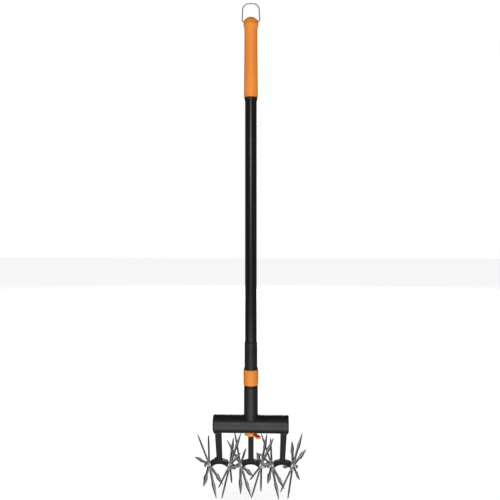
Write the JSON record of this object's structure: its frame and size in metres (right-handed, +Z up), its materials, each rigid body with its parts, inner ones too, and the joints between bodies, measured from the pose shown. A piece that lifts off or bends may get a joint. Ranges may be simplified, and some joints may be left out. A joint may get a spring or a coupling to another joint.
{
  "type": "telescoping rotary cultivator",
  "caption": "Long-handled hand cultivator with a telescoping shaft, twist-lock collar, crossbar head and free-turning steel star wheels that break up soil.",
  "frame": {"origin": "under the handle's axis, at the height of the lowest tine tip", "axes": "+Z up the handle, X along the crossbar, the front of the tool faces -Y"},
  "size_m": [0.2216, 0.1304, 1.0042],
  "materials": {
    "orange_plastic": "satin moulded orange plastic with fine texture",
    "black_plastic": "matte glass-filled black plastic",
    "black_tube": "satin black powder coat",
    "bare_tube": "drawn aluminium",
    "zinc_steel": "zinc plated pressed steel",
    "steel_wire": "plated wire"
  },
  "bodies": {
    "head": {"crossbar_housing": "black_plastic", "crossbar_end_cap_left": "black_plastic", "crossbar_end_cap_right": "black_plastic", "left_arm": "black_plastic", "centre_arm": "black_plastic", "right_arm": "black_plastic", "arm_screw_left": "zinc_steel", "arm_screw_right": "zinc_steel", "socket_screw": "zinc_steel", "lower_tube": "bare_tube", "tube_guide": "black_plastic", "axle_left_outer": "zinc_steel", "spacer_left_outer": "zinc_steel", "washer_left_outer": "zinc_steel", "axle_cap_left_outer": "black_plastic", "axle_left_inner": "zinc_steel", "spacer_left_inner": "zinc_steel", "washer_left_inner": "zinc_steel", "axle_cap_left_inner": "black_plastic", "axle_centre_left": "zinc_steel", "spacer_centre_left": "zinc_steel", "washer_centre_left": "zinc_steel", "axle_cap_centre_left": "black_plastic", "axle_centre_right": "zinc_steel", "spacer_centre_right": "zinc_steel", "washer_centre_right": "zinc_steel", "axle_cap_centre_right": "black_plastic", "axle_right_inner": "zinc_steel", "spacer_right_inner": "zinc_steel", "washer_right_inner": "zinc_steel", "axle_cap_right_inner": "black_plastic", "axle_right_outer": "zinc_steel", "spacer_right_outer": "zinc_steel", "washer_right_outer": "zinc_steel", "axle_cap_right_outer": "black_plastic"},
    "handle": {"upper_tube": "black_tube", "lock_sleeve": "black_plastic", "lock_collet": "black_plastic", "grip_ferrule": "black_plastic", "grip": "orange_plastic", "grip_end_cap": "orange_plastic"},
    "collar": {"lock_collar": "orange_plastic"},
    "hanger": {"hang_loop": "steel_wire"},
    "latch": {"latch_ring": "orange_plastic"},
    "wheel_left_outer": {"star_wheel_left_outer": "zinc_steel"},
    "wheel_left_inner": {"star_wheel_left_inner": "zinc_steel"},
    "wheel_centre_left": {"star_wheel_centre_left": "zinc_steel"},
    "wheel_centre_right": {"star_wheel_centre_right": "zinc_steel"},
    "wheel_right_inner": {"star_wheel_right_inner": "zinc_steel"},
    "wheel_right_outer": {"star_wheel_right_outer": "zinc_steel"}
  },
  "joints": [
    {"name": "handle_slide", "type": "slide", "parent": "head", "child": "handle", "axis": [0, 0, 1], "range_m": [0, 0.508]},
    {"name": "collar_turn", "type": "hinge", "parent": "handle", "child": "collar", "pos_m": [0, 0, 0.2394], "axis": [0, 0, 1], "range_deg": [0, 90]},
    {"name": "loop_swing", "type": "hinge", "parent": "handle", "child": "hanger", "pos_m": [0, 0, 0.9667], "axis": [1, 0, 0], "range_deg": [-150, 150]},
    {"name": "latch_turn", "type": "hinge", "parent": "head", "child": "latch", "pos_m": [0, 0, 0.1296], "axis": [0, 0, -1], "range_deg": [0, 75]},
    {"name": "spin_left_outer", "type": "hinge", "parent": "head", "child": "wheel_left_outer", "pos_m": [-0.08525, 0, 0.0624], "axis": [0.9224, -0.1793, 0.342], "continuous": true},
    {"name": "spin_left_inner", "type": "hinge", "parent": "head", "child": "wheel_left_inner", "pos_m": [-0.04275, 0, 0.0624], "axis": [0.9224, 0.1793, -0.342], "continuous": true},
    {"name": "spin_centre_left", "type": "hinge", "parent": "head", "child": "wheel_centre_left", "pos_m": [-0.02125, 0, 0.0624], "axis": [0.9224, -0.1793, 0.342], "continuous": true},
    {"name": "spin_centre_right", "type": "hinge", "parent": "head", "child": "wheel_centre_right", "pos_m": [0.02125, 0, 0.0624], "axis": [0.9224, 0.1793, -0.342], "continuous": true},
    {"name": "spin_right_inner", "type": "hinge", "parent": "head", "child": "wheel_right_inner", "pos_m": [0.04275, 0, 0.0624], "axis": [0.9224, -0.1793, 0.342], "continuous": true},
    {"name": "spin_right_outer", "type": "hinge", "parent": "head", "child": "wheel_right_outer", "pos_m": [0.08525, 0, 0.0624], "axis": [0.9224, 0.1793, -0.342], "continuous": true}
  ],
  "couplings": [
    {"joint": "spin_left_outer", "follows": "spin_centre_left", "ratio": 1},
    {"joint": "spin_left_inner", "follows": "spin_centre_left", "ratio": 1},
    {"joint": "spin_centre_right", "follows": "spin_centre_left", "ratio": 1},
    {"joint": "spin_right_inner", "follows": "spin_centre_left", "ratio": 1},
    {"joint": "spin_right_outer", "follows": "spin_centre_left", "ratio": 1}
  ]
}
